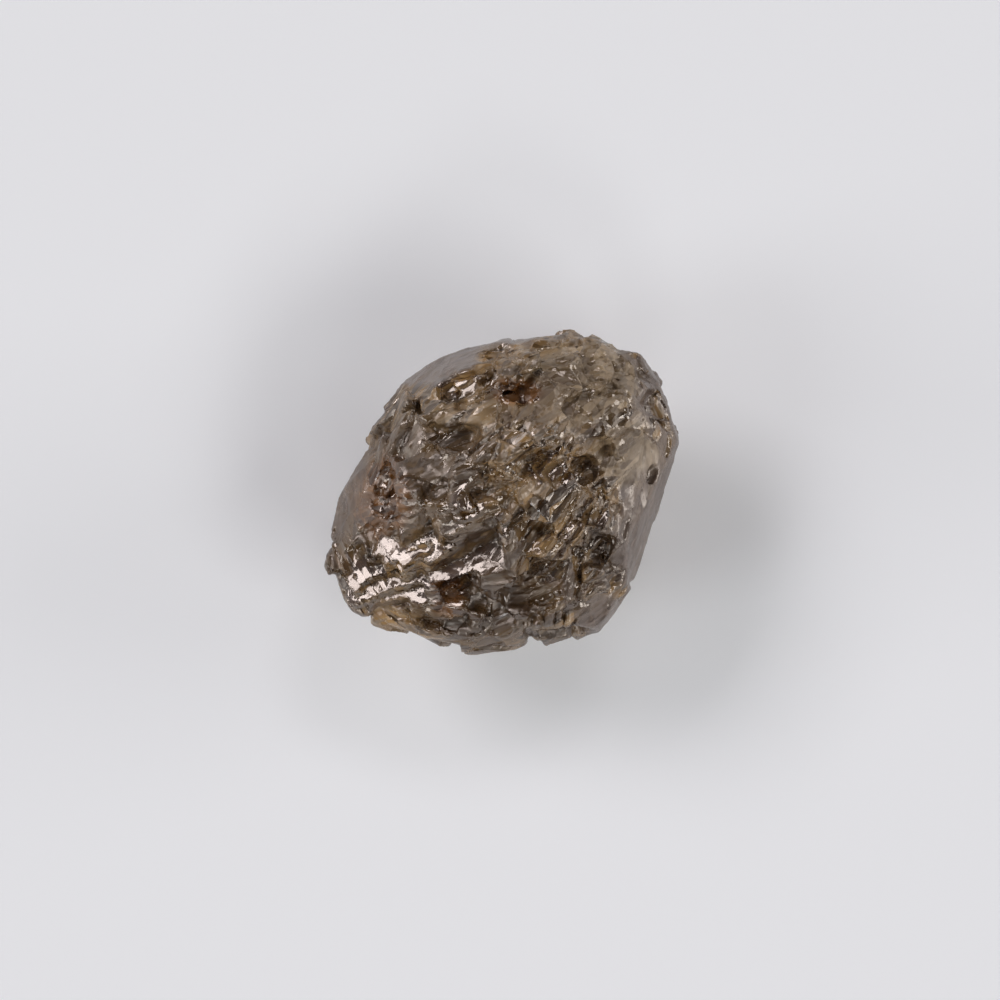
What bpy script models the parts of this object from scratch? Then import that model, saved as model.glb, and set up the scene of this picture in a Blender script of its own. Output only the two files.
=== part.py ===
"""A rough brown diamond, one natural crystal, lying on the flat cleavage face at its base.

The crystal is a worn, lopsided octahedral stone. Its form is the space that some forty crystal
faces leave between them: steep rim faces round the belt, gentler shoulders over and under it, a
cap and the rest face. Breakage then marks that form. Plates step like shingles on the front left,
blocks break away along the front, etched pits open in the top, and slots, notches and a healed
crack cut the rim. Last comes a hackle of small facets, which leaves the worn rim faces smooth.

Lengths are in millimetres until the last step, which scales the mesh to metres. X is the stone's
longest way, Z is up, and the origin is under the middle of the stone on the face it rests on.
Azimuths are in degrees from +X towards +Y.
"""

import math
from collections import namedtuple

import bmesh
import bpy
from mathutils import Matrix, Vector, noise

NAME = "rough_diamond"
MM = 0.001
SIZE = Vector((7.10, 6.50, 5.30))
HEART = Vector((0.0, 0.0, 2.62))
BLANK = 14.0  # side of the cube that the crystal faces cut down
ABOVE = 1.2  # how far a cutter stands over the surface that it opens
SPLIT_DIP = -9
END_FLARE = 0.45  # how fast a chip widens towards its ends as it rises
RISER_FLARE = 0.18
GRAIN = 0.042  # voxel of the remesh that welds the form and its cuts into one skin
WEAR_STEPS = 1
HACKLE = 0.045  # depth of the small facets on broken surfaces
SMOOTH_HACKLE = 0.007  # and their depth on the rim faces and on the treads of chips
MARGIN = 0.07  # within this of a smooth face, a point counts as part of it
CLEAVED = 0.05  # thickness taken off the base, so that it rests on a true plane
TRIANGLES = 11600
COLOUR = (0.33, 0.27, 0.22, 1.0)
ROUGHNESS = 0.28
METALLIC = 0.0
DIAMOND_IOR = 2.42

Rim = namedtuple("Rim", "name azimuth reach belt blunt lean_up lean_down")
Face = namedtuple("Face", "azimuth tilt distance")
Chip = namedtuple("Chip", "name x y depth strike azimuth tilt length width")
Slot = namedtuple("Slot", "name x y depth strike length width")
Pit = namedtuple("Pit", "name x y depth turn length width")
Swell = namedtuple("Swell", "name x y z rise spread")
Notch = namedtuple("Notch", "name x y turn width low high")
Split = namedtuple("Split", "name azimuth tilt depth turn length width")

# Each side of the belt. Azimuth is the way it faces, reach is how far it stands from the vertical
# through the heart, belt is the height of its edge over the heart, blunt is how much of that edge
# is worn flat, and the leans are how far its upper and lower faces turn from the vertical.
RIMS = (
    Rim("left", 152, 2.92, -0.42, 0.10, 18, 30),
    Rim("back_left", 110, 2.97, 0.30, 0.07, 23, 22),
    Rim("back", 97, 2.95, 0.46, 0.12, 19, 27),
    Rim("back_right", 54, 3.92, 0.10, 0.16, 22, 33),
    Rim("right_back", 19, 3.70, -0.25, 0.08, 20, 29),
    Rim("right", 342, 3.10, -0.50, 0.13, 18, 23),
    Rim("front_right", 323, 3.32, -0.15, 0.06, 23, 24),
    Rim("front", 278, 3.23, -0.55, 0.12, 17, 27),
    Rim("front_left", 255, 3.42, -0.20, 0.09, 19, 30),
    Rim("left_front", 228, 3.92, 0.12, 0.14, 21, 30),
    Rim("left_corner", 203, 3.92, -0.35, 0.10, 22, 27),
    Rim("left_tip", 180, 3.55, -0.05, 0.12, 20, 26),
)

# The faces over and under the rim: the way each looks, its tilt above the horizontal, and its
# distance from the heart.
SHOULDERS = (
    Face(150, 64, 2.30),
    Face(101, 66, 2.50),
    Face(46, 66, 2.64),
    Face(340, 64, 2.28),
    Face(280, 62, 2.26),
    Face(232, 66, 2.48),
    Face(184, 63, 2.48),
)
CAP = (
    Face(70, 82, 2.66),
    Face(250, 80, 2.60),
    Face(330, 76, 2.58),
)
UNDERSIDE = (
    Face(120, -56, 2.60),
    Face(48, -52, 2.82),
    Face(350, -55, 2.66),
    Face(290, -58, 2.62),
    Face(232, -52, 2.84),
    Face(172, -57, 2.72),
    Face(0, -90, 2.62),
)

# Chips: steps broken out of the top. X, Y is the foot of the riser and depth is how far it lies
# under the crystal's surface. The riser runs along the strike. The tread runs out from it, to the
# right, in the plane that looks along an azimuth and tilt. Most treads share the crystal's cleavage.
SHINGLES = (
    Chip("plate_1", -2.84, -0.92, 0.20, 18, 150, 66, 0.80, 0.60),
    Chip("plate_2", -2.62, -1.20, 0.26, 24, 148, 65, 0.90, 0.70),
    Chip("plate_3", -1.98, -1.26, 0.34, 31, 152, 66, 1.20, 0.90),
    Chip("plate_4", -0.86, -1.50, 0.44, 27, 150, 67, 1.60, 0.80),
    Chip("plate_5", -1.86, -1.86, 0.32, 25, 151, 66, 0.50, 0.70),
    Chip("plate_6", -2.74, -1.68, 0.26, 20, 149, 65, 0.60, 0.60),
    Chip("plate_7", -2.52, -1.92, 0.32, 22, 152, 66, 0.86, 0.70),
    Chip("plate_8", -2.06, -2.18, 0.28, 15, 150, 68, 0.90, 0.60),
    Chip("plate_9", -2.30, -2.46, 0.24, 10, 150, 68, 0.80, 0.50),
    Chip("plate_10", -3.10, -1.30, 0.20, 24, 150, 64, 0.50, 0.50),
    Chip("plate_11", -0.30, -1.22, 0.22, 30, 150, 67, 0.60, 0.24),
)
BLOCKS = (
    Chip("olive_pocket", -1.06, -1.90, 0.44, 20, 290, 70, 0.56, 0.42),
    Chip("left_recess", -0.62, -2.06, 0.42, 8, 280, 68, 0.30, 0.46),
    Chip("right_recess", -0.24, -2.26, 0.44, 4, 280, 66, 0.26, 0.42),
    Chip("low_recess", -1.06, -2.62, 0.26, 10, 276, 60, 0.46, 0.26),
    Chip("dark_hall", 0.84, -1.50, 0.52, -9, 276, 72, 0.76, 0.60),
    Chip("lower_hall", 0.52, -2.08, 0.50, 2, 274, 66, 0.94, 0.36),
    Chip("front_shelf", -0.10, -2.72, 0.24, -6, 270, 58, 0.70, 0.50),
    Chip("side_hall", 1.98, -1.02, 0.36, -14, 300, 72, 0.36, 0.66),
)
FACETS = (
    Chip("fan", 0.88, -0.96, 0.34, -28, 140, 70, 0.50, 1.00),
    Chip("mirror", -0.60, -0.52, 0.20, 114, 150, 66, 0.54, 0.50),
    Chip("upper_band", 0.86, 0.52, 0.22, 35, 148, 66, 0.80, 0.40),
    Chip("lower_band", 1.04, 0.32, 0.24, 37, 150, 66, 0.56, 0.40),
    Chip("crest_band", -0.92, 2.10, 0.20, 20, 150, 66, 0.74, 0.40),
    Chip("crest_low", -0.78, 1.80, 0.18, 19, 150, 66, 0.42, 0.30),
    Chip("left_dashes", -2.06, 1.50, 0.16, 24, 150, 62, 0.80, 0.30),
    Chip("dark_triangle", -0.42, 2.62, 0.24, 130, 60, 62, 0.40, 0.40),
    Chip("west_band", -1.40, 1.14, 0.14, -12, 100, 74, 1.50, 0.40),
    Chip("right_step", 3.06, 1.30, 0.20, 142, 30, 60, 0.90, 0.60),
    Chip("crackle_1", 1.64, -0.50, 0.24, 62, 150, 66, 0.70, 0.40),
    Chip("crackle_2", 1.94, -0.60, 0.22, 66, 152, 65, 0.50, 0.30),
    Chip("crackle_3", 1.28, -0.84, 0.24, 55, 148, 67, 0.56, 0.30),
    Chip("sparkle", 0.02, 0.16, 0.18, -30, 130, 74, 0.70, 0.50),
)
CHIPS = SHINGLES + BLOCKS + FACETS

# Slots: grooves sunk along the top surface, by their middle and the way they run.
SLOTS = (
    Slot("healed_crack", -1.55, -2.18, 0.30, 91, 1.50, 0.09),
    Slot("right_groove", 2.90, 2.24, 0.14, -28, 0.56, 0.12),
    Slot("rim_slot_1", 2.42, -0.92, 0.14, 80, 0.42, 0.11),
    Slot("rim_slot_2", 2.62, -1.06, 0.13, 82, 0.66, 0.09),
    Slot("rim_slot_3", 2.78, -0.24, 0.08, 60, 0.16, 0.07),
    Slot("dark_slot", 1.50, -1.92, 0.34, 84, 0.92, 0.20),
    Slot("back_slot", -0.38, 1.96, 0.24, 64, 0.60, 0.14),
    Slot("left_edge_slot", -3.18, -0.30, 0.10, 70, 0.70, 0.08),
    Slot("corner_dash_1", 2.58, 2.66, 0.08, -46, 0.26, 0.08),
    Slot("corner_dash_2", 2.84, 2.64, 0.07, -44, 0.16, 0.06),
    Slot("corner_dash_3", 2.34, 2.50, 0.09, -56, 0.32, 0.08),
    Slot("flute_1", 0.56, -2.74, 0.26, 86, 0.44, 0.10),
    Slot("flute_2", 0.78, -2.72, 0.28, 87, 0.46, 0.10),
    Slot("flute_3", 1.00, -2.72, 0.24, 88, 0.42, 0.09),
    Slot("flute_4", 1.18, -2.68, 0.20, 86, 0.50, 0.09),
    Slot("amber_ridge", -2.22, -0.14, 0.34, -52, 0.62, 0.10),
)
# Pits: etched bowls, by their middle, their depth, and the turn, length and width of their mouths.
PITS = (
    Pit("amber_pit", -2.46, -0.14, 0.40, 72, 1.22, 0.84),
    Pit("amber_glint", -2.12, 0.14, 0.34, 10, 0.44, 0.36),
    Pit("olive_pit", 0.22, 1.84, 0.40, -4, 1.00, 0.56),
    Pit("olive_side", 0.56, 2.08, 0.30, 60, 0.50, 0.36),
    Pit("dark_bowl", 1.62, 0.26, 0.36, -20, 0.94, 0.68),
    Pit("round_well", -1.14, -1.24, 0.34, 40, 0.40, 0.30),
    Pit("right_moat", 2.94, 0.22, 0.22, 66, 0.52, 0.28),
    Pit("centre_dark", 0.12, -0.48, 0.20, -50, 0.96, 0.56),
    Pit("left_dark", -1.44, -0.20, 0.22, 20, 0.80, 0.50),
)

# Swellings: places where the skin stands out, by their middle, how far they rise and how wide.
SWELLS = (
    Swell("back_knob", 0.03, 2.92, 3.00, 0.10, 0.24),
    Swell("right_dome", 2.46, 0.66, 4.15, 0.16, 0.42),
    Swell("bright_eye", 1.34, 0.12, 4.70, 0.10, 0.13),
    Swell("pale_block", 2.05, -2.62, 3.50, 0.16, 0.50),
    Swell("front_lobe", 0.06, -3.22, 2.30, 0.14, 0.32),
    Swell("left_lobe", -2.95, -2.45, 2.70, 0.10, 0.20),
    Swell("left_corner_lobe", -3.50, -1.52, 2.50, 0.08, 0.22),
    Swell("back_shoulder", 1.80, 2.95, 3.60, 0.10, 0.50),
    Swell("belly_left", -2.40, 1.10, 1.60, 0.12, 0.60),
    Swell("belly_front", 0.90, -2.30, 1.20, 0.12, 0.55),
)

# Notches: upright grooves in the rim, from one height to another.
NOTCHES = (
    Notch("back_gap", 0.17, 3.16, 92, 0.30, 2.4, 5.6),
    Notch("right_gap", 2.68, -2.02, -26, 0.26, 1.6, 5.0),
    Notch("front_gap", 0.50, -3.26, -84, 0.40, 1.2, 5.2),
    Notch("left_gap", -3.62, -1.16, 186, 0.26, 1.4, 5.0),
    Notch("left_gap_low", -2.78, -2.70, 232, 0.22, 1.2, 4.8),
    Notch("back_left_gap", -0.55, 3.10, 108, 0.12, 2.6, 5.4),
    Notch("under_gap", 3.40, -0.10, -14, 0.22, 0.2, 2.2),
)

# Scars: corners struck off flat, by the way each scar looks and how deep it cuts into the corner.
SCARS = (
    Face(131, 22, 0.13),
    Face(165, -32, 0.06),
    Face(103, -40, 0.12),
    Face(76, 30, 0.11),
    Face(70, -34, 0.06),
    Face(36, 54, 0.03),
    Face(24, -44, 0.10),
    Face(0, 50, 0.04),
    Face(356, -46, 0.06),
    Face(330, -38, 0.12),
    Face(311, 50, 0.06),
    Face(300, -50, 0.06),
    Face(268, -42, 0.11),
    Face(250, 50, 0.05),
    Face(246, -50, 0.05),
    Face(213, 54, 0.03),
    Face(196, -44, 0.11),
    Face(171, 36, 0.04),
)

# Splits: steps broken out of the sides, placed by the way they look.
SPLITS = (
    Split("left_split", 158, -10, 0.16, 64, 1.60, 0.90),
    Split("back_split", 96, -16, 0.18, -22, 1.90, 0.80),
    Split("back_right_split", 44, -24, 0.14, 30, 1.50, 0.90),
    Split("right_split", 345, -20, 0.16, -58, 1.50, 0.80),
    Split("front_split", 284, -20, 0.18, 16, 1.80, 0.80),
    Split("front_left_split", 248, -26, 0.14, -34, 1.50, 0.80),
    Split("corner_split", 208, -30, 0.12, 40, 1.30, 0.80),
    Split("under_split", 130, -40, 0.16, 80, 1.40, 0.80),
)


def facing(azimuth, tilt):
    """The unit vector that looks along an azimuth, tilted above the horizontal."""
    turn, rise = math.radians(azimuth), math.radians(tilt)
    return Vector((math.cos(turn) * math.cos(rise), math.sin(turn) * math.cos(rise), math.sin(rise)))


def rim_planes():
    """(normal, distance from the heart) of the upper, middle and lower face of each side."""
    planes = []
    for rim in RIMS:
        planes.append((facing(rim.azimuth, 0), rim.reach))
        edge = facing(rim.azimuth, 0) * (rim.reach + rim.blunt) + Vector((0, 0, rim.belt))
        for tilt in (rim.lean_up, -rim.lean_down):
            normal = facing(rim.azimuth, tilt)
            planes.append((normal, normal.dot(edge)))
    return planes


def reach_along(way, planes):
    """How far the faces let the crystal reach from its heart along a way."""
    return min(d / n.dot(way) for n, d in planes if n.dot(way) > 0.05)


def crystal_planes():
    faces = SHOULDERS + CAP + UNDERSIDE
    planes = rim_planes() + [(facing(f.azimuth, f.tilt), f.distance) for f in faces]
    for scar in SCARS:
        normal = facing(scar.azimuth, scar.tilt)
        planes.append((normal, reach_along(normal, planes) - scar.distance))
    return planes


def top_height(x, y, planes):
    """The height of the whole crystal's upper surface over a point of the ground."""
    rises = [(d - n.x * x - n.y * y) / n.z for n, d in planes if n.z > 0.05]
    return HEART.z + min(rises)


def crystal(planes):
    """The polyhedron that the crystal's faces enclose."""
    body = bmesh.new()
    bmesh.ops.create_cube(body, size=BLANK)
    for normal, distance in planes:
        cut = bmesh.ops.bisect_plane(
            body,
            geom=body.verts[:] + body.edges[:] + body.faces[:],
            plane_co=normal * distance,
            plane_no=normal,
            clear_outer=True,
        )
        rim = [item for item in cut["geom_cut"] if isinstance(item, bmesh.types.BMEdge)]
        if rim:
            bmesh.ops.contextual_create(body, geom=rim)
    bmesh.ops.translate(body, verts=body.verts, vec=HEART)
    bmesh.ops.recalc_face_normals(body, faces=body.faces)
    return body


def add_block(cutter, frame, length, width):
    """A block whose base lies on a frame's XY plane, back edge on X, flaring as it rises."""
    corners = []
    for z in (0.0, ABOVE):
        half = length / 2 + z * END_FLARE
        back, front = z * RISER_FLARE, -width - z * END_FLARE
        for x, y in ((-half, front), (half, front), (half, back), (-half, back)):
            corners.append(cutter.verts.new(frame @ Vector((x, y, z))))
    low, high = corners[:4], corners[4:]
    cutter.faces.new(reversed(low))
    cutter.faces.new(high)
    for i in range(4):
        j = (i + 1) % 4
        cutter.faces.new((low[i], low[j], high[j], high[i]))


def framed(origin, along, normal):
    """The frame at a point, with its X along a direction and its Z as near a normal as may be."""
    across = normal.cross(along).normalized()
    upward = along.cross(across).normalized()
    axes = Matrix((along.normalized(), across, upward)).transposed()
    return Matrix.Translation(origin) @ axes.to_4x4()


def chip_frame(chip, planes):
    """The frame at a chip's foot: X along its riser and Z out of its tread."""
    foot = Vector((chip.x, chip.y, top_height(chip.x, chip.y, planes) - chip.depth))
    normal = facing(chip.azimuth, chip.tilt)
    along = facing(chip.strike, 0)
    along.z = -normal.dot(along) / normal.z
    return framed(foot, along, normal)


def add_groove(cutter, frame, length, width, depth):
    """A wedge that cuts a V along a frame's X, as wide as asked at the surface, Z = 0."""
    half = width / 2 * (depth + ABOVE) / depth
    ends = []
    for x in (-length / 2, length / 2):
        corners = (Vector((x, 0.0, -depth)), Vector((x, half, ABOVE)), Vector((x, -half, ABOVE)))
        ends.append([cutter.verts.new(frame @ corner) for corner in corners])
    start, end = ends
    cutter.faces.new(start)
    cutter.faces.new(reversed(end))
    for i in range(3):
        j = (i + 1) % 3
        cutter.faces.new((start[j], start[i], end[i], end[j]))


def add_slot(cutter, slot, planes):
    """A groove along the surface, following the surface's fall from one end to the other."""
    along = facing(slot.strike, 0)
    middle = Vector((slot.x, slot.y, 0.0))
    ends = []
    for side in (-0.5, 0.5):
        end = middle + along * slot.length * side
        end.z = top_height(end.x, end.y, planes)
        ends.append(end)
    fall = ends[1] - ends[0]
    frame = framed((ends[0] + ends[1]) / 2, fall, Vector((0, 0, 1)))
    add_groove(cutter, frame, fall.length, slot.width, slot.depth)


def add_notch(cutter, notch):
    """An upright wedge, its edge at X, Y pointing back into the stone."""
    outwards = facing(notch.turn, 0)
    middle = Vector((notch.x, notch.y, (notch.low + notch.high) / 2))
    frame = framed(middle, Vector((0, 0, 1)), outwards)
    add_groove(cutter, frame, notch.high - notch.low, notch.width, notch.width)


def add_split(cutter, split, planes):
    way = facing(split.azimuth, split.tilt)
    foot = HEART + way * (reach_along(way, planes) - split.depth)
    turn = Matrix.Rotation(math.radians(split.turn), 4, "Z")
    frame = Matrix.Translation(foot) @ way.to_track_quat("Z", "Y").to_matrix().to_4x4() @ turn
    tipped = frame @ Matrix.Rotation(math.radians(SPLIT_DIP), 4, "X")
    add_block(cutter, tipped, split.length, split.width)


def add_pit(cutter, pit, planes):
    """A bowl: an ellipsoid sunk until its lowest point lies at the pit's depth."""
    radius = pit.width / 2
    middle = Vector((pit.x, pit.y, top_height(pit.x, pit.y, planes) - pit.depth + radius))
    frame = Matrix.Translation(middle) @ Matrix.Rotation(math.radians(pit.turn), 4, "Z")
    scale = Matrix.Diagonal((pit.length / 2, radius, radius, 1.0))
    bmesh.ops.create_icosphere(cutter, subdivisions=3, radius=1.0, matrix=frame @ scale)


def breakage(planes):
    cutter = bmesh.new()
    for chip in CHIPS:
        add_block(cutter, chip_frame(chip, planes), chip.length, chip.width)
    for slot in SLOTS:
        add_slot(cutter, slot, planes)
    for pit in PITS:
        add_pit(cutter, pit, planes)
    for notch in NOTCHES:
        add_notch(cutter, notch)
    for split in SPLITS:
        add_split(cutter, split, planes)
    return cutter


def placed(shape, name, helper=False):
    """A bmesh made into an object of the scene."""
    bmesh.ops.recalc_face_normals(shape, faces=shape.faces)
    mesh = bpy.data.meshes.new(name)
    shape.to_mesh(mesh)
    shape.free()
    obj = bpy.data.objects.new(name, mesh)
    bpy.context.scene.collection.objects.link(obj)
    obj.hide_render = helper
    return obj


def cut(stone, cutter):
    change = stone.modifiers.new("cut", "BOOLEAN")
    change.operation = "DIFFERENCE"
    change.object = cutter
    change.solver = "EXACT"
    change.use_self = True


def settle(stone):
    """Replaces the stone's mesh with what its modifiers make of it."""
    graph = bpy.context.evaluated_depsgraph_get()
    graph.update()
    made = bpy.data.meshes.new_from_object(stone.evaluated_get(graph))
    stone.modifiers.clear()
    stone.data = made


def weld(stone):
    """One even skin over the form and its cuts."""
    skin = stone.modifiers.new("skin", "REMESH")
    skin.mode = "VOXEL"
    skin.voxel_size = GRAIN
    settle(stone)


def swell(point):
    """How far the swellings push a point out."""
    rises = 0.0
    for mark in SWELLS:
        away = (point - Vector((mark.x, mark.y, mark.z))).length_squared
        rises += mark.rise * math.exp(-away / (2 * mark.spread * mark.spread))
    return rises


def facet_at(point, grain, seed):
    """A height of about -1 to 1, made of small tilted planes with a step from one to the next."""
    away = Vector((seed, -seed, 2 * seed))
    near, seeds = noise.voronoi(point / grain + away)
    lean = noise.cell_vector(seeds[0] * 13.7) * 2 - Vector((1, 1, 1))
    lift = noise.cell(seeds[0] * 7.3)
    return 0.7 * lift + 0.8 * lean.dot(point / grain + away - seeds[0])


def smoothness_test(planes):
    """A function that says how far, from 0 to 1, a point is from the nearest smooth face."""
    worn = rim_planes()
    treads = [(chip_frame(chip, planes).inverted(), chip.length / 2, chip.width) for chip in CHIPS]

    def gap_at(point):
        gap = min(abs(d - n.dot(point - HEART)) for n, d in worn)
        for frame, half, width in treads:
            local = frame @ point
            if abs(local.x) < half + MARGIN and -width < local.y < MARGIN:
                gap = min(gap, abs(local.z))
        return min(1.0, gap / MARGIN)

    return gap_at


def roughen(stone, planes):
    """Hackle on what is broken, and next to none on smooth faces."""
    gap_at = smoothness_test(planes)
    mesh = stone.data
    moves = []
    for vert in mesh.vertices:
        depth = SMOOTH_HACKLE + (HACKLE - SMOOTH_HACKLE) * gap_at(vert.co)
        height = 0.7 * facet_at(vert.co, 0.56, 3.0) + 0.4 * facet_at(vert.co, 0.28, 8.0)
        moves.append(vert.normal * (depth * height + swell(vert.co)))
    for vert, move in zip(mesh.vertices, moves):
        vert.co += move
        vert.co.z = max(vert.co.z, CLEAVED)


def wear(stone):
    """Rounds every edge by a hair."""
    skin = bmesh.new()
    skin.from_mesh(stone.data)
    for _ in range(WEAR_STEPS):
        bmesh.ops.smooth_vert(
            skin,
            verts=skin.verts,
            factor=0.5,
            use_axis_x=True,
            use_axis_y=True,
            use_axis_z=True,
        )
    skin.to_mesh(stone.data)
    skin.free()


def thin_out(stone):
    fewer = stone.modifiers.new("fewer", "DECIMATE")
    corners = sum(len(face.vertices) - 2 for face in stone.data.polygons)
    fewer.ratio = TRIANGLES / corners
    settle(stone)


def fit_and_scale(stone):
    """Stretches the stone to its exact size, with the origin under its middle, in metres."""
    points = [vert.co for vert in stone.data.vertices]
    low = Vector([min(point[axis] for point in points) for axis in range(3)])
    high = Vector([max(point[axis] for point in points) for axis in range(3)])
    middle = Vector(((low.x + high.x) / 2, (low.y + high.y) / 2, low.z))
    stretch = Matrix.Diagonal([SIZE[axis] / (high[axis] - low[axis]) * MM for axis in range(3)])
    for vert in stone.data.vertices:
        vert.co = stretch @ (vert.co - middle)


def brown_diamond():
    material = bpy.data.materials.new("brown_diamond")
    material.use_nodes = True
    shader = material.node_tree.nodes["Principled BSDF"]
    shader.inputs["Base Color"].default_value = COLOUR
    shader.inputs["Roughness"].default_value = ROUGHNESS
    shader.inputs["Metallic"].default_value = METALLIC
    shader.inputs["IOR"].default_value = DIAMOND_IOR
    return material


def main():
    for old in list(bpy.data.objects):
        bpy.data.objects.remove(old)
    planes = crystal_planes()
    stone = placed(crystal(planes), NAME)
    broken = placed(breakage(planes), "breakage", helper=True)
    cut(stone, broken)
    settle(stone)
    bpy.data.objects.remove(broken)
    weld(stone)
    wear(stone)
    roughen(stone, planes)
    thin_out(stone)
    fit_and_scale(stone)
    stone.data.materials.clear()
    stone.data.materials.append(brown_diamond())
    stone.data.shade_smooth()


main()
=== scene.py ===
import itertools
import math

import bmesh
import bpy
import numpy as np
from mathutils import Matrix, Vector


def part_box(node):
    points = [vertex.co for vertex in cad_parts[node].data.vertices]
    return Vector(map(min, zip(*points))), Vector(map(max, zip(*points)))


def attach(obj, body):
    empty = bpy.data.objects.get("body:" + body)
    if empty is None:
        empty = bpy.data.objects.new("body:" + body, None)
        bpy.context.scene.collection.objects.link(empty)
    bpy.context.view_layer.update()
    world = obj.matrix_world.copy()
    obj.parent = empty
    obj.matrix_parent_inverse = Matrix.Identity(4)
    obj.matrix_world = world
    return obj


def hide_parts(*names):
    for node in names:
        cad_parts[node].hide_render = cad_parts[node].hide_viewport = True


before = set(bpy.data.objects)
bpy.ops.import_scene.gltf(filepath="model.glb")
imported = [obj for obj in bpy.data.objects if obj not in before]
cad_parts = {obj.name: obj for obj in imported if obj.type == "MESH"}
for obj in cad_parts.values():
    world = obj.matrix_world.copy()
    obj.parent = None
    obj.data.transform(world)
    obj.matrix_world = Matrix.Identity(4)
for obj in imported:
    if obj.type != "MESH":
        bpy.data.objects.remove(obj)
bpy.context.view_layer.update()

# Lengths are in millimetres and angles in degrees, except where a comment says otherwise. The stone is
# worked on at that scale and brought to metres at the end.
MM = 0.001
NODE = "rough_diamond"
LOW, HIGH = (np.array(corner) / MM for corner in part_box(NODE))
MIDDLE = (LOW + HIGH) / 2
HALF = (HIGH - LOW) / 2

VOXEL = 0.034
MOST_TRIANGLES = 192000
SHARP_CREASE = 34.0
REST_BAND = 0.12                # detail fades in from 0.3 to 2.5 times this height above the rest face

FACET, STROKE = 0.70, 0.22      # how wide the broad facets and the flaky strokes on them are
CRACKLE, SUGAR = 0.16, 0.12     # how wide the crackled chips and the frosted grains are
BROAD_STEP, FACET_STEP, FLANK_STEP = 0.18, 0.15, 0.12   # on the plates, mirrors and flanks
STRIA_PITCH, STRIA_HEIGHT = 0.10, 0.002     # the fine lines on the treads
GROOVE_WIDTH, GROOVE_HEIGHT = 0.11, 0.008   # the grooves on the worn rims
FLAKE, BORDER, CHIP, FIBRE = 0.20, 0.15, 0.085, 0.11    # the finest marks, in the material only

CAMERA_TILT = 86.0              # above the horizon
PICTURE_WIDTH = 20.0            # what the view takes in at the stone's middle
LENS = 200.0
SENSOR = 36.0
CLIP = (0.005, 5.0)             # metres
AIM = (-0.04, -0.16)            # from the stone's middle
LAMP_DISTANCE = 3.0             # metres
FLOOR_HALF_SIDE = 6.0           # metres
FLOOR_GAP = 0.00002             # metres below the rest face, so that the two never coincide

TREAD_AZIMUTH, TREAD_RISE = 150.0, 66.0     # the cleavage that most steps share
FLANKS = ((40, -44), (128, -40), (218, -46), (310, -42))    # azimuth and rise of the lower ones


# ---------------------------------------------------------------- fields

def hashed(cell, seed):
    """Three even random numbers from 0 to 1 for each whole-number cell."""
    x, y, z = (cell[:, i].astype(np.uint64) for i in range(3))
    h = (x * np.uint64(73856093)) ^ (y * np.uint64(19349663)) ^ (z * np.uint64(83492791))
    h ^= np.uint64(seed * 2654435761 % 2**32)
    out = []
    for salt in (0x9E3779B97F4A7C15, 0xBF58476D1CE4E5B9, 0x94D049BB133111EB):
        k = h * np.uint64(salt)
        k ^= k >> np.uint64(29)
        k *= np.uint64(0xD6E8FEB86659FD93)
        k ^= k >> np.uint64(32)
        out.append((k >> np.uint64(11)).astype(np.float64) / 2**53)
    return np.stack(out, 1)


def broken(p, size, seed, tilt=0.6, step=0.3, bend=1.6):
    """Height of a broken surface made of small planes, in the units of p.

    Each cell of about size holds a plane with its own slope and level. The highest of the planes
    near a point wins, less a bend that keeps each to its own neighbourhood, so planes meet in creases.
    """
    q = p / size
    base = np.floor(q).astype(np.int64)
    top = np.full(len(q), -1e9)
    for offset in itertools.product((-1, 0, 1), repeat=3):
        cell = base + np.array(offset)
        where = hashed(cell, seed)
        slope = (hashed(cell, seed + 77) - 0.5) * 2 * tilt
        level = (hashed(cell, seed + 191)[:, 0] - 0.5) * 2 * step
        d = q - (cell + where)
        h = level + (slope * d).sum(1) - bend * (d * d).sum(1)
        np.maximum(top, h, out=top)
    return top * size


def shards(p, size, seed, tilt=0.6, step=0.3, soft=0.1):
    """Like broken, but each point takes the plane of its nearest cell, so planes end in small cliffs."""
    q = p / size
    base = np.floor(q).astype(np.int64)
    near = np.full(len(q), 1e9)
    second = np.full(len(q), 1e9)
    high = np.zeros(len(q))
    high2 = np.zeros(len(q))
    for offset in itertools.product((-1, 0, 1), repeat=3):
        cell = base + np.array(offset)
        d = q - (cell + hashed(cell, seed))
        slope = (hashed(cell, seed + 77) - 0.5) * 2 * tilt
        level = (hashed(cell, seed + 191)[:, 0] - 0.5) * 2 * step
        h = level + (slope * d).sum(1)
        r = (d * d).sum(1)
        closer = r < near
        closer2 = ~closer & (r < second)
        second = np.where(closer, near, np.where(closer2, r, second))
        high2 = np.where(closer, high, np.where(closer2, h, high2))
        near = np.where(closer, r, near)
        high = np.where(closer, h, high)
    w = np.clip((np.sqrt(second) - np.sqrt(near)) / soft, 0, 1) * 0.5
    return (high * (0.5 + w) + high2 * (0.5 - w)) * size


def drift(p, size, seed):
    """Smooth random field from -1 to 1 (trilinear value noise with a smooth step)."""
    q = p / size
    base = np.floor(q).astype(np.int64)
    f = q - base
    f = f * f * (3 - 2 * f)
    total = np.zeros(len(q))
    for offset in itertools.product((0, 1), repeat=3):
        o = np.array(offset)
        w = np.prod(np.where(o, f, 1 - f), axis=1)
        total += w * (hashed(base + o, seed)[:, 0] * 2 - 1)
    return total


def ramp(x, low, high):
    t = np.clip((x - low) / (high - low), 0, 1)
    return t * t * (3 - 2 * t)


def facing(azimuth, rise):
    a, e = math.radians(azimuth), math.radians(rise)
    return np.array((math.cos(a) * math.cos(e), math.sin(a) * math.cos(e), math.sin(e)))


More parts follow.
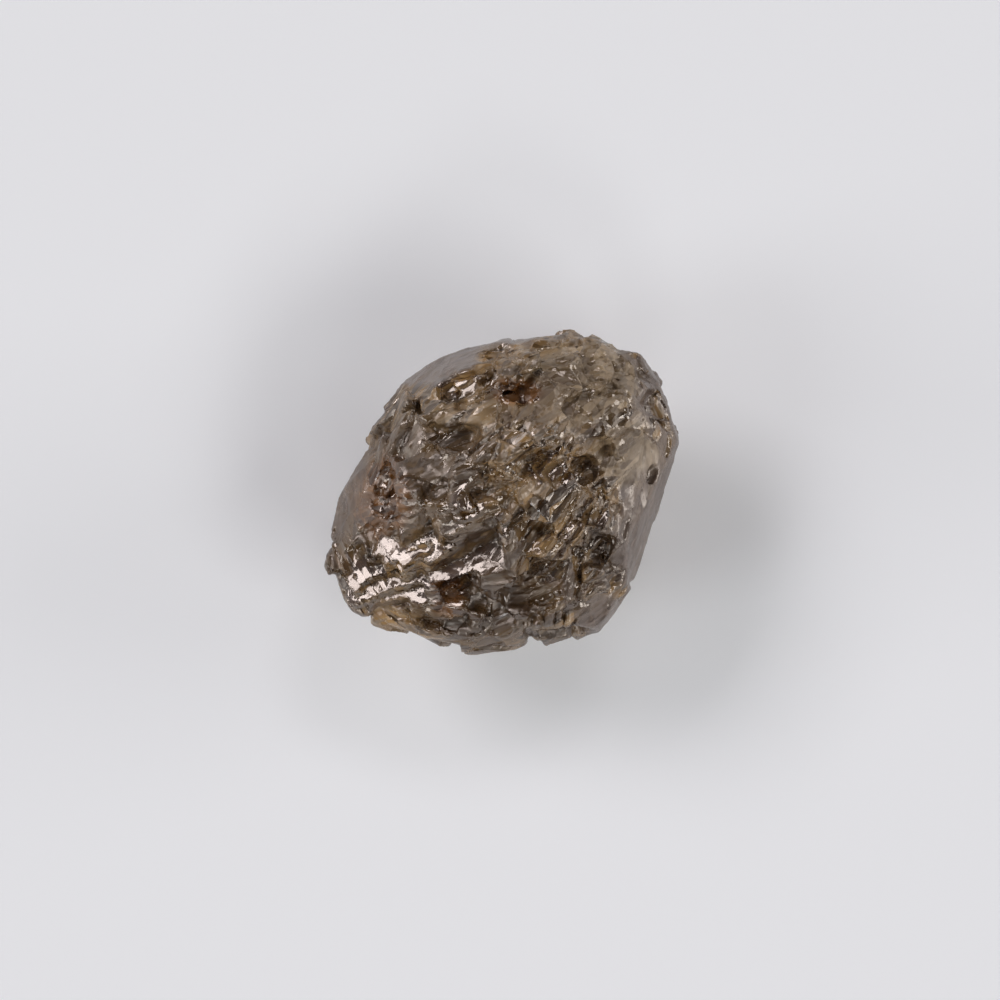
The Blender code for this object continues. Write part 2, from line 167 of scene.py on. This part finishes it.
def zone(p, middle, radii, turn=0.0, edge=0.45):
    """1 inside an ellipse seen from above, falling to 0 over edge of its radius. Upper side only."""
    a = math.radians(turn)
    x, y = p[:, 0] - middle[0], p[:, 1] - middle[1]
    u = (x * math.cos(a) + y * math.sin(a)) / radii[0]
    v = (-x * math.sin(a) + y * math.cos(a)) / radii[1]
    r = np.sqrt(u * u + v * v) + 0.22 * drift(p, 0.35, 5)
    return (1 - ramp(r, 1 - edge / 2, 1 + edge / 2)) * ramp(p[:, 2], 1.6, 2.4)


# ---------------------------------------------------------------- where each kind of surface is

# Each row below is an ellipse seen from above: middle, radii, turn and strength.
WORN = (  # smooth faces near the rim, apart from the belt
    ((-1.25, 2.5), (0.85, 0.5), 15, 1.0),
    ((2.75, -0.45), (0.45, 1.6), -8, 1.0),
    ((-3.1, 0.2), (0.4, 0.9), -12, 1.0),
    ((2.0, -2.55), (0.55, 0.5), 10, 1.0),
    ((1.32, -1.95), (0.12, 0.55), 0, 1.0),
)
FROSTED = (
    ((1.55, 2.1), (1.25, 0.9), 0, 0.95),
    ((2.45, 0.75), (0.6, 0.62), 0, 0.9),
    ((-0.85, 1.40), (1.9, 0.30), 4, 0.45),
    ((-2.45, 0.75), (0.5, 0.26), -20, 0.7),
    ((-1.9, -2.0), (0.9, 0.35), 10, 0.3),
)
AMBER = (  # rust-brown stain
    ((-2.40, -0.20), (0.62, 0.75), 0, 1.0),
    ((0.25, 1.84), (0.5, 0.28), 0, 1.0),
    ((-1.1, -2.1), (0.35, 0.4), 0, 1.0),
)
DARK = (
    ((-1.60, 0.20), (1.40, 1.15), -10, 0.90),
    ((-2.20, -0.50), (0.75, 0.62), 0, 1.00),
    ((-2.80, -1.00), (0.60, 1.00), 0, 0.80),
    ((0.40, 1.75), (0.95, 0.60), 0, 0.60),
    ((-0.10, -0.95), (0.80, 0.90), 0, 0.70),
    ((-0.35, -2.30), (1.55, 0.68), 0, 0.90),
    ((1.6, 0.24), (0.42, 0.34), 0, 0.6),
    ((2.05, -1.3), (0.24, 0.42), 0, 0.6),
    ((0.85, -1.95), (0.5, 0.42), 0, 0.7),
    ((-0.4, -1.75), (0.3, 0.4), 0, 1.0),
    ((1.5, -2.0), (0.14, 0.45), 0, 1.0),
)
CRACKLED = (
    ((-0.15, 0.22), (0.5, 0.5), 0, 1.0),
    ((1.62, -0.78), (0.48, 0.6), 0, 1.0),
    ((0.85, -1.35), (0.35, 0.5), 0, 1.0),
    ((1.2, 0.6), (0.3, 0.25), 35, 1.0),
    ((0.2, 2.35), (0.25, 0.3), 0, 1.0),
)
MIRRORS = (  # single clean facets
    ((-0.70, -0.46), (0.16, 0.34), 20, 1.0),
    ((-0.80, -1.70), (0.60, 0.26), 30, 0.8),
    ((-1.90, -1.42), (0.50, 0.18), 30, 0.8),
    ((1.30, 0.14), (0.15, 0.15), 0, 1.0),
    ((2.52, 1.60), (0.11, 0.22), -8, 1.0),
    ((0.88, 0.58), (0.40, 0.14), 35, 0.9),
    ((-0.92, 2.08), (0.36, 0.10), 20, 1.0),
    ((2.00, -1.30), (0.06, 0.10), 0, 1.0),
)
PLATES = (  # where the steps' treads are clean
    ((-1.55, -1.50), (1.75, 0.78), 20, 1.0),
    ((-2.3, -2.1), (0.9, 0.55), 15, 0.5),
    ((1.60, -0.70), (0.55, 0.6), 60, 1.0),
    ((0.90, 0.50), (0.6, 0.35), 35, 1.0),
    ((-0.85, 2.05), (0.55, 0.3), 20, 1.0),
    ((-0.62, -0.42), (0.35, 0.45), 20, 1.0),
    ((0.85, -1.45), (0.4, 0.5), 0, 0.9),
)


def union(p, spots, edge=0.45):
    """The strongest of the zones at each point."""
    out = np.zeros(len(p))
    for middle, radii, turn, strength in spots:
        out = np.maximum(out, strength * zone(p, middle, radii, turn, edge))
    return out


def kinds(p, n):
    """How much each point is of each kind of surface, 0 to 1. Low on the stone, where there are no
    zones, some kinds come in patches of noise."""
    out = {}
    lean = n[:, 2]
    radial = np.hypot(p[:, 0] / HALF[0], p[:, 1] / HALF[1])
    belt = ramp(radial, 0.80, 0.93) * (1 - ramp(lean, 0.72, 0.9)) * ramp(lean, -0.55, -0.25)
    patchy = ramp(drift(p, 1.5, 31) + 0.35, 0.0, 0.35)
    broken_front = zone(p, (-0.4, -3.0), (3.2, 0.75), 0, 0.5)
    out["worn"] = np.maximum(belt * patchy * (1 - 0.8 * broken_front), union(p, WORN))
    lower = ramp(-p[:, 2], -1.9, -1.3)
    out["frost"] = np.maximum(union(p, FROSTED), lower * ramp(drift(p, 0.9, 43), 0.15, 0.5) * 0.8)
    out["amber"] = np.maximum(union(p, AMBER), lower * ramp(drift(p, 0.8, 61), 0.3, 0.6))
    out["dark"] = union(p, DARK)
    out["crackle"] = np.maximum(union(p, CRACKLED), lower * ramp(drift(p, 0.7, 83), 0.3, 0.6))
    out["mirror"] = union(p, MIRRORS, 0.3)
    # a tread is whatever faces within 10 to 20 degrees of the shared cleavage
    turned = n @ facing(TREAD_AZIMUTH, TREAD_RISE)
    out["tread"] = ramp(turned, math.cos(math.radians(20)), math.cos(math.radians(10)))
    out["tread"] *= np.maximum(union(p, PLATES + MIRRORS), lower * ramp(drift(p, 1.1, 97), -0.1, 0.3))
    plain = (1 - out["frost"]) * (1 - out["worn"]) * (1 - out["tread"])
    out["window"] = ramp(drift(p, 0.70, 101), 0.0, 0.30) * plain
    return out


# ---------------------------------------------------------------- the stone's own surface

def read(mesh):
    count = len(mesh.vertices)
    p = np.empty(count * 3)
    n = np.empty(count * 3)
    mesh.vertices.foreach_get("co", p)
    mesh.vertex_normals.foreach_get("vector", n)
    return p.reshape(-1, 3), n.reshape(-1, 3)


def write(mesh, p):
    mesh.vertices.foreach_set("co", p.astype(np.float32).ravel())
    mesh.update()


def modified(ob, kind, **settings):
    """Runs one modifier on the object and keeps its result as the object's mesh."""
    m = ob.modifiers.new(kind, kind)
    for key, value in settings.items():
        setattr(m, key, value)
    made = bpy.data.meshes.new_from_object(ob.evaluated_get(bpy.context.evaluated_depsgraph_get()))
    ob.modifiers.clear()
    old, ob.data = ob.data, made
    bpy.data.meshes.remove(old)


def nearest_site(p, size, seed):
    """The jittered lattice site nearest to each point, and that site's three random numbers."""
    q = p / size
    base = np.floor(q).astype(np.int64)
    near = np.full(len(q), 1e9)
    site = np.zeros_like(q)
    luck = np.zeros_like(q)
    for offset in itertools.product((-1, 0, 1), repeat=3):
        cell = base + np.array(offset)
        s = cell + hashed(cell, seed)
        r = ((q - s) ** 2).sum(1)
        closer = r < near
        near = np.where(closer, r, near)
        site[closer] = s[closer]
        luck[closer] = hashed(cell[closer], seed + 13)
    return site * size, luck * 2 - 1


def lengthways(p, patch, stretch, seed, wander=0.45, turn=None):
    """p squeezed along a way that changes from patch to patch, so that what is round in the result
    lies on the stone as strokes. The ways keep near the grain of the stone, more or less by wander.
    The grain swings from 12 degrees at the left to 64 at the right, unless turn sets one for all."""
    site, luck = nearest_site(p, patch, seed)
    out = site - MIDDLE
    out /= np.linalg.norm(out, axis=1)[:, None] + 1e-9
    swing = 38 + 26 * np.clip(site[:, 0] / 3, -1, 1)
    turn = np.radians(swing if turn is None else np.full_like(swing, turn))
    way = np.stack((np.cos(turn), np.sin(turn), 0 * turn), 1) + luck * wander
    way -= (way * out).sum(1)[:, None] * out
    way /= np.linalg.norm(way, axis=1)[:, None] + 1e-9
    return p - way * ((p * way).sum(1) * (1 - 1 / stretch))[:, None]


def grain_of(p):
    return lengthways(p, 1.4, 6.0, 11, 0.34)


def terraced(p, n, up, step, amount, seed, near, full):
    """Moves the surface onto flat treads that all face up, a step apart, where it leans that way: not
    at all where its normal's part along up is under near, and fully where it is over full."""
    along = p @ up / step + 0.30 * drift(p, 0.55, seed)
    base = np.floor(along)
    shift = (base + ramp(along - base, 0.40, 0.60) - along) * step
    turned = ramp(n @ up, near, full)
    return p + up * (shift * amount * turned)[:, None]


def stepped(mesh, k, free):
    """Cleavage steps: the broad ones on the upper side, and some on each lower flank."""
    p, n = read(mesh)
    up = facing(TREAD_AZIMUTH, TREAD_RISE)
    write(mesh, terraced(p, n, up, BROAD_STEP, union(p, PLATES) * free, 131, 0.42, 0.66))
    p, n = read(mesh)
    clean = union(p, MIRRORS, 0.3) * free
    write(mesh, terraced(p, n, up, FACET_STEP, clean, 137, 0.45, 0.70))
    bare = (1 - ramp(p[:, 2], 2.0, 2.9)) * (1 - k["worn"]) * (1 - 0.7 * k["frost"]) * free
    for i, (azimuth, rise) in enumerate(FLANKS):
        p, n = read(mesh)
        some = bare * ramp(drift(p, 1.2, 140 + i), -0.25, 0.15)
        up = facing(azimuth, rise)
        write(mesh, terraced(p, n, up, FLANK_STEP, 0.8 * some, 150 + i, 0.82, 0.93))


def detail(mesh):
    """Works the surface: facets and strokes first, then the steps, then the finest marks."""
    p, n = read(mesh)
    k = kinds(p, n)
    free = ramp(p[:, 2], REST_BAND * 0.3, REST_BAND * 2.5)
    calm = np.clip(1 - 0.93 * k["worn"] - 0.9 * k["tread"], 0, 1) * (1 - 0.85 * union(p, PLATES))
    rough = calm * (1 - 0.5 * k["frost"]) * (1 - 0.6 * k["window"])
    h = 0.9 * calm * shards(p, FACET, 3, tilt=0.30, step=0.04, soft=0.05)
    h += 0.8 * rough * shards(grain_of(p), STROKE, 17, tilt=0.46, step=0.03, soft=0.16)
    h -= np.median(h)
    write(mesh, p + n * (h * free)[:, None])
    stepped(mesh, k, free)
    p, n = read(mesh)
    k = kinds(p, n)
    chips = shards(lengthways(p, 0.3, 2.2, 37), CRACKLE, 53, tilt=0.6, step=0.12)
    fine = 0.6 * k["crackle"] * chips
    fine += 0.30 * k["frost"] * broken(p, SUGAR, 67, tilt=0.6, step=0.2, bend=0.5)
    turn = math.radians(TREAD_AZIMUTH)
    level_way = np.array((-math.sin(turn), math.cos(turn), 0.0))
    across = p @ np.cross(facing(TREAD_AZIMUTH, TREAD_RISE), level_way)
    striae = np.sin(2 * math.pi * (across / STRIA_PITCH + 0.8 * drift(p, 0.5, 71)))
    fine += STRIA_HEIGHT * k["tread"] * striae
    grooves = drift(p * np.array((1.0, 1.0, 0.12)), GROOVE_WIDTH, 73)
    fine += GROOVE_HEIGHT * k["worn"] * grooves
    write(mesh, p + n * (fine * free)[:, None])


def without_specks(mesh):
    """Keeps the largest connected part. The remesh can close off a speck inside a narrow pit."""
    bm = bmesh.new()
    bm.from_mesh(mesh)
    bm.verts.ensure_lookup_table()
    part = [-1] * len(bm.verts)
    sizes = []
    for start in bm.verts:
        if part[start.index] >= 0:
            continue
        part[start.index] = len(sizes)
        waiting, size = [start], 0
        while waiting:
            vert = waiting.pop()
            size += 1
            for edge in vert.link_edges:
                other = edge.other_vert(vert)
                if part[other.index] < 0:
                    part[other.index] = len(sizes)
                    waiting.append(other)
        sizes.append(size)
    largest = sizes.index(max(sizes))
    bmesh.ops.delete(bm, geom=[v for v in bm.verts if part[v.index] != largest], context="VERTS")
    bm.to_mesh(mesh)
    bm.free()


def fit_in_box(mesh):
    """Brings the worked surface back to the CAD solid's own box."""
    p, n = read(mesh)
    lo, hi = p.min(0), p.max(0)
    write(mesh, LOW + (p - lo) / (hi - lo) * (HIGH - LOW))


def store(mesh, name, values):
    """Keeps a number or a vector for each vertex, for the material to read."""
    kind, field = ("FLOAT", "value") if values.ndim == 1 else ("FLOAT_VECTOR", "vector")
    kept = mesh.attributes.new(name, kind, "POINT")
    kept.data.foreach_set(field, values.astype(np.float32).ravel())


def bake_map(mesh):
    """A UV map of six flat views of the stone, side by side, so that every face has its own place."""
    corners = np.empty(len(mesh.loops), dtype=np.int32)
    mesh.loops.foreach_get("vertex_index", corners)
    p, n = read(mesh)
    faces = corners.reshape(-1, 3)
    normal = n[faces].sum(1)
    axis = np.abs(normal).argmax(1)
    side = (np.take_along_axis(normal, axis[:, None], 1)[:, 0] < 0).astype(int)
    uv = np.empty((len(faces), 3, 2))
    lo, hi = p.min(0), p.max(0)
    span = (hi - lo).max()
    for a in range(3):
        for s in range(2):
            pick = (axis == a) & (side == s)
            u, v = [i for i in range(3) if i != a]
            q = p[faces[pick]]
            uv[pick, :, 0] = (a + 0.02 + 0.96 * (q[..., u] - lo[u]) / span) / 3
            uv[pick, :, 1] = (s + 0.02 + 0.96 * (q[..., v] - lo[v]) / span) / 2
    layer = mesh.uv_layers.new(name="OFBake")
    layer.data.foreach_set("uv", uv.astype(np.float32).ravel())


def make_stone():
    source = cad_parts[NODE]
    mesh = source.data.copy()
    mesh.transform(Matrix.Scale(1 / MM, 4))
    mesh.materials.clear()
    ob = bpy.data.objects.new("diamond_crystal", mesh)
    bpy.context.scene.collection.objects.link(ob)
    modified(ob, "REMESH", mode="VOXEL", voxel_size=VOXEL)
    detail(ob.data)
    faces = sum(len(f.vertices) - 2 for f in ob.data.polygons)
    modified(ob, "DECIMATE", ratio=min(1.0, MOST_TRIANGLES / faces), use_collapse_triangulate=True)
    modified(ob, "TRIANGULATE")
    without_specks(ob.data)
    fit_in_box(ob.data)
    p, n = read(ob.data)
    k = kinds(p, n)
    for name in ("worn", "frost", "amber", "dark", "mirror", "tread", "window"):
        store(ob.data, name, k[name])
    store(ob.data, "grain", grain_of(p))
    store(ob.data, "fibre", lengthways(p, 1.6, 9.0, 19, 0.12, 76))
    bake_map(ob.data)
    ob.data.transform(Matrix.Scale(MM, 4))
    ob.data.shade_smooth()
    ob.data.set_sharp_from_angle(angle=math.radians(SHARP_CREASE))
    return ob


# ---------------------------------------------------------------- materials

class Nodes:
    """Adds nodes to a material's tree with their inputs in one call."""

    def __init__(self, name):
        self.material = bpy.data.materials.new(name)
        self.material.use_nodes = True
        self.tree = self.material.node_tree
        self.shader = self.tree.nodes["Principled BSDF"]
        self.out = self.tree.nodes["Material Output"]

    def add(self, kind, inputs=(), **settings):
        node = self.tree.nodes.new(kind)
        for key, value in settings.items():
            setattr(node, key, value)
        for key, value in dict(inputs).items():
            self.put(node, key, value)
        return node

    def put(self, node, key, value):
        if isinstance(value, bpy.types.NodeSocket):
            self.tree.links.new(value, node.inputs[key])
        else:
            node.inputs[key].default_value = value

    def attribute(self, name):
        return self.add("ShaderNodeAttribute", attribute_name=name).outputs["Fac"]

    def mix(self, factor, a, b):
        node = self.add("ShaderNodeMix", data_type="RGBA")
        for i, value in ((0, factor), (6, a), (7, b)):
            self.put(node, i, value)
        return node.outputs[2]

    def blend(self, factor, a, b):
        node = self.add("ShaderNodeMix", data_type="FLOAT")
        for i, value in ((0, factor), (2, a), (3, b)):
            self.put(node, i, value)
        return node.outputs[0]

    def math(self, operation, a, b=0.0, clamp=False):
        node = self.add("ShaderNodeMath", operation=operation, use_clamp=clamp)
        self.put(node, 0, a)
        self.put(node, 1, b)
        return node.outputs[0]

    def times(self, a, b):
        return self.math("MULTIPLY", a, b)

    def larger(self, a, b):
        return self.math("MAXIMUM", a, b)

    def vectors(self, operation, a, b, key=1):
        return self.add("ShaderNodeVectorMath", {0: a, key: b}, operation=operation).outputs[0]

    def way(self, name):
        """A place stored on the mesh, squeezed so that round marks in it lie as strokes."""
        return self.add("ShaderNodeAttribute", attribute_name=name).outputs["Vector"]

    def noise(self, place, scale, detail, roughness):
        return self.add("ShaderNodeTexNoise", {"Vector": place, "Scale": scale, "Detail": detail,
                                               "Roughness": roughness}).outputs

    def flakes(self, way, scale):
        """A random colour for each cell of a field of flakes that lie along a stored direction."""
        node = self.add("ShaderNodeTexVoronoi", {"Vector": self.way(way), "Scale": scale})
        return node.outputs["Color"]

    def borders(self, way, scale):
        """How far each point is from the border between two such flakes."""
        return self.add("ShaderNodeTexVoronoi", {"Vector": self.way(way), "Scale": scale},
                        feature="DISTANCE_TO_EDGE").outputs["Distance"]

    def part(self, vector, index):
        return self.add("ShaderNodeSeparateXYZ", {0: vector}).outputs[index]

    def leaned(self, normal, colour, amount):
        """The normal leaned by a random colour, by up to half of amount each way."""
        lean = self.vectors("SUBTRACT", colour, (0.5, 0.5, 0.5))
        return self.vectors("ADD", normal, self.vectors("SCALE", lean, amount, "Scale"))

    def level(self, value, low, high, to_low=0.0, to_high=1.0):
        node = self.add("ShaderNodeMapRange", {"Value": value, "From Min": low, "From Max": high,
                                               "To Min": to_low, "To Max": to_high})
        return node.outputs["Result"]


# darkest and lightest tone of each
BODY = ((0.056, 0.023, 0.004, 1), (0.50, 0.305, 0.125, 1))
# the rims' grey-mauve is partly their own tone and partly a painted reflection of the pale room
RIM_TONE_AND_REFLECTION = ((0.095, 0.068, 0.055, 1), (0.25, 0.195, 0.168, 1))
TAN = ((0.13, 0.085, 0.042, 1), (0.50, 0.385, 0.255, 1))
RUST = ((0.070, 0.022, 0.004, 1), (0.36, 0.145, 0.030, 1))
PAPER = ((0.895, 0.905, 0.925, 1), (0.915, 0.925, 0.945, 1))
DEEP_BROWN = (0.070, 0.031, 0.007, 1)
TREAD_GREY = (0.120, 0.084, 0.074, 1)
PALE_STREAK = (0.66, 0.54, 0.40, 1)


def diamond_material():
    m = Nodes("brown_diamond")
    worn, frost, amber, dark, tread, mirror, window = (
        m.attribute(name) for name in ("worn", "frost", "amber", "dark", "tread", "mirror", "window"))
    smooth = m.larger(m.times(worn, 0.78), m.times(tread, 0.62))
    smooth = m.larger(smooth, m.times(mirror, 0.88))
    smooth = m.larger(smooth, m.times(window, 0.60))
    flaky = m.math("SUBTRACT", 1.0, smooth, clamp=True)
    flake = m.flakes("grain", 1 / FLAKE)
    chip = m.flakes("grain", 1 / CHIP)
    fibre = m.noise(m.way("fibre"), 1 / FIBRE, 4.0, 0.6)

    # each flake shows its own depth of brown, with pale lines between some of them
    depth = m.math("ADD", m.times(m.part(flake, 0), 0.6), m.times(m.part(chip, 1), 0.4))
    place = m.add("ShaderNodeTexCoord").outputs["Object"]
    cloud = m.level(m.noise(place, 700.0, 3.0, 0.55)["Fac"], 0.3, 0.7, -0.25, 0.25)
    depth = m.level(m.math("ADD", depth, cloud), 0.26, 0.92)
    border = m.level(m.borders("grain", 1 / BORDER), 0.0, 0.10, 0.75, 0.0)
    streak = m.times(m.times(border, m.part(flake, 1)), flaky)
    colour = m.mix(streak, m.mix(depth, *BODY), PALE_STREAK)
    line = m.level(fibre["Fac"], 0.36, 0.64)
    # the worn rims take that grey-mauve, which partly paints in their reflection of the room
    colour = m.mix(m.times(worn, 0.85), colour, m.mix(line, *RIM_TONE_AND_REFLECTION))
    colour = m.mix(m.times(frost, 0.85), colour, m.mix(depth, *TAN))
    colour = m.mix(m.times(dark, 0.75), colour, DEEP_BROWN)
    colour = m.mix(m.times(amber, m.blend(worn, 0.85, 0.30)), colour, m.mix(depth, *RUST))
    colour = m.mix(m.times(tread, 0.75), colour, TREAD_GREY)
    m.put(m.shader, "Base Color", colour)

    # about a third of the chips are glassy, and glint
    rough = m.blend(worn, m.blend(window, 0.34, 0.38), 0.25)
    rough = m.blend(frost, rough, 0.42)
    rough = m.blend(m.times(dark, 0.6), rough, 0.44)
    glassy = m.times(m.level(m.part(chip, 2), 0.60, 0.72), flaky)
    rough = m.blend(glassy, rough, 0.13)
    m.put(m.shader, "Roughness", m.blend(m.larger(tread, mirror), rough, 0.11))

    clear = m.level(m.part(flake, 2), 0.35, 0.65, 0.25, 0.62)
    clear = m.blend(window, clear, 0.60)
    clear = m.blend(worn, clear, 0.38)
    clear = m.blend(m.times(dark, 0.6), clear, 0.50)
    clear = m.blend(frost, clear, 0.20)
    m.put(m.shader, "Transmission Weight", clear)
    m.put(m.shader, "IOR", 2.42)
    m.put(m.shader, "Specular IOR Level", 0.19)
    m.put(m.shader, "Specular Tint", (1.0, 0.90, 0.82, 1))

    normal = m.add("ShaderNodeNewGeometry").outputs["Normal"]
    normal = m.leaned(normal, flake, m.times(flaky, 0.46))
    normal = m.leaned(normal, fibre["Color"], m.times(worn, 0.22))
    normal = m.leaned(normal, chip, m.times(flaky, 0.30))
    unit = m.add("ShaderNodeVectorMath", {0: normal}, operation="NORMALIZE").outputs[0]
    m.put(m.shader, "Normal", unit)

    absorb = m.add("ShaderNodeVolumeAbsorption", {"Color": (0.62, 0.41, 0.22, 1), "Density": 620.0})
    m.tree.links.new(absorb.outputs["Volume"], m.out.inputs["Volume"])
    return m.material


def paper_material():
    m = Nodes("white_paper")
    place = m.add("ShaderNodeTexCoord").outputs["Object"]
    shade = m.level(m.noise(place, 9.0, 2.0, 0.5)["Fac"], 0.35, 0.65)
    m.put(m.shader, "Base Color", m.mix(shade, *PAPER))
    m.put(m.shader, "Roughness", 0.95)
    m.put(m.shader, "Specular IOR Level", 0.1)
    return m.material


# ---------------------------------------------------------------- studio

def make_floor():
    mesh = bpy.data.meshes.new("floor")
    corners = [(x * FLOOR_HALF_SIDE, y * FLOOR_HALF_SIDE, -FLOOR_GAP)
               for x, y in ((-1, -1), (1, -1), (1, 1), (-1, 1))]
    mesh.from_pydata(corners, [], [(0, 1, 2, 3)])
    ob = bpy.data.objects.new("floor", mesh)
    bpy.context.scene.collection.objects.link(ob)
    mesh.materials.append(paper_material())


# how bright the room is at each height, from the horizon at 0 to overhead at 1
ROOM = ((0.0, 0.795), (0.10, 0.795), (0.20, 0.22), (0.50, 0.12), (1.0, 0.06))


def make_world():
    """Pale walls all round and a dim ceiling, as in a room with a copy stand."""
    world = bpy.data.worlds.new("studio")
    bpy.context.scene.world = world
    world.use_nodes = True
    tree = world.node_tree
    back = tree.nodes["Background"]
    place = tree.nodes.new("ShaderNodeTexCoord")
    part = tree.nodes.new("ShaderNodeSeparateXYZ")
    shade = tree.nodes.new("ShaderNodeValToRGB")
    tree.links.new(place.outputs["Generated"], part.inputs[0])
    tree.links.new(part.outputs["Z"], shade.inputs[0])
    tree.links.new(shade.outputs[0], back.inputs["Color"])
    stops = shade.color_ramp.elements
    for i, (height, light) in enumerate(ROOM):
        stop = stops[i] if i < 2 else stops.new(height)
        stop.position = height
        stop.color = (light * 0.967, light * 0.965, light, 1)
    back.inputs["Strength"].default_value = 1.0


def softbox(name, azimuth, rise, wide, high, radiance, colour):
    """A soft panel seen from the stone as wide by high degrees. It stands far off, so it lights the
    whole floor evenly."""
    lamp = bpy.data.lights.new(name, "AREA")
    lamp.shape = "RECTANGLE"
    lamp.size = 2 * LAMP_DISTANCE * math.tan(math.radians(wide / 2))
    lamp.size_y = 2 * LAMP_DISTANCE * math.tan(math.radians(high / 2))
    lamp.energy = radiance * math.pi * lamp.size * lamp.size_y
    lamp.color = colour
    ob = bpy.data.objects.new(name, lamp)
    bpy.context.scene.collection.objects.link(ob)
    ob.location = Vector(facing(azimuth, rise)) * LAMP_DISTANCE
    ob.rotation_mode = "QUATERNION"
    ob.rotation_quaternion = ob.location.to_track_quat("Z", "Y")


PINK = (1.0, 0.955, 0.98)
PLAIN = (1.0, 0.99, 0.98)
COOL = (0.93, 0.97, 1.0)
SOFTBOXES = (  # name; azimuth, rise, width and height, all in degrees; radiance; colour
    ("key", 145, 40, 26, 20, 6.9, PINK),
    ("fill_right", -38, 44, 31, 16, 5.4, PLAIN),
    ("fill_left", 205, 36, 18, 16, 4.4, COOL),
    ("fill_back", 68, 48, 20, 11, 4.7, PINK),
    ("fill_front", 275, 40, 16, 11, 4.7, PLAIN),
    ("low_left", 190, 20, 30, 15, 3.6, PLAIN),
    ("low_right", 10, 20, 30, 15, 4.8, PLAIN),
)


def make_camera():
    camera = bpy.data.cameras.new("camera")
    camera.lens, camera.sensor_width = LENS, SENSOR
    camera.clip_start, camera.clip_end = CLIP
    ob = bpy.data.objects.new("camera", camera)
    bpy.context.scene.collection.objects.link(ob)
    low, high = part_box(NODE)
    middle = (Vector(low) + Vector(high)) / 2 + Vector((AIM[0], AIM[1], 0)) * MM
    tilt = math.radians(CAMERA_TILT)
    away = Vector((0, -math.cos(tilt), math.sin(tilt)))
    ob.location = middle + away * (PICTURE_WIDTH * MM * LENS / SENSOR)
    ob.rotation_mode = "QUATERNION"
    ob.rotation_quaternion = away.to_track_quat("Z", "Y")
    bpy.context.scene.camera = ob


# ---------------------------------------------------------------- all together

stone = make_stone()
stone.data.materials.append(diamond_material())
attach(stone, "root")
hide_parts(NODE)
make_floor()
make_world()
for row in SOFTBOXES:
    softbox(*row)
make_camera()
bpy.context.scene.view_settings.view_transform = "Standard"
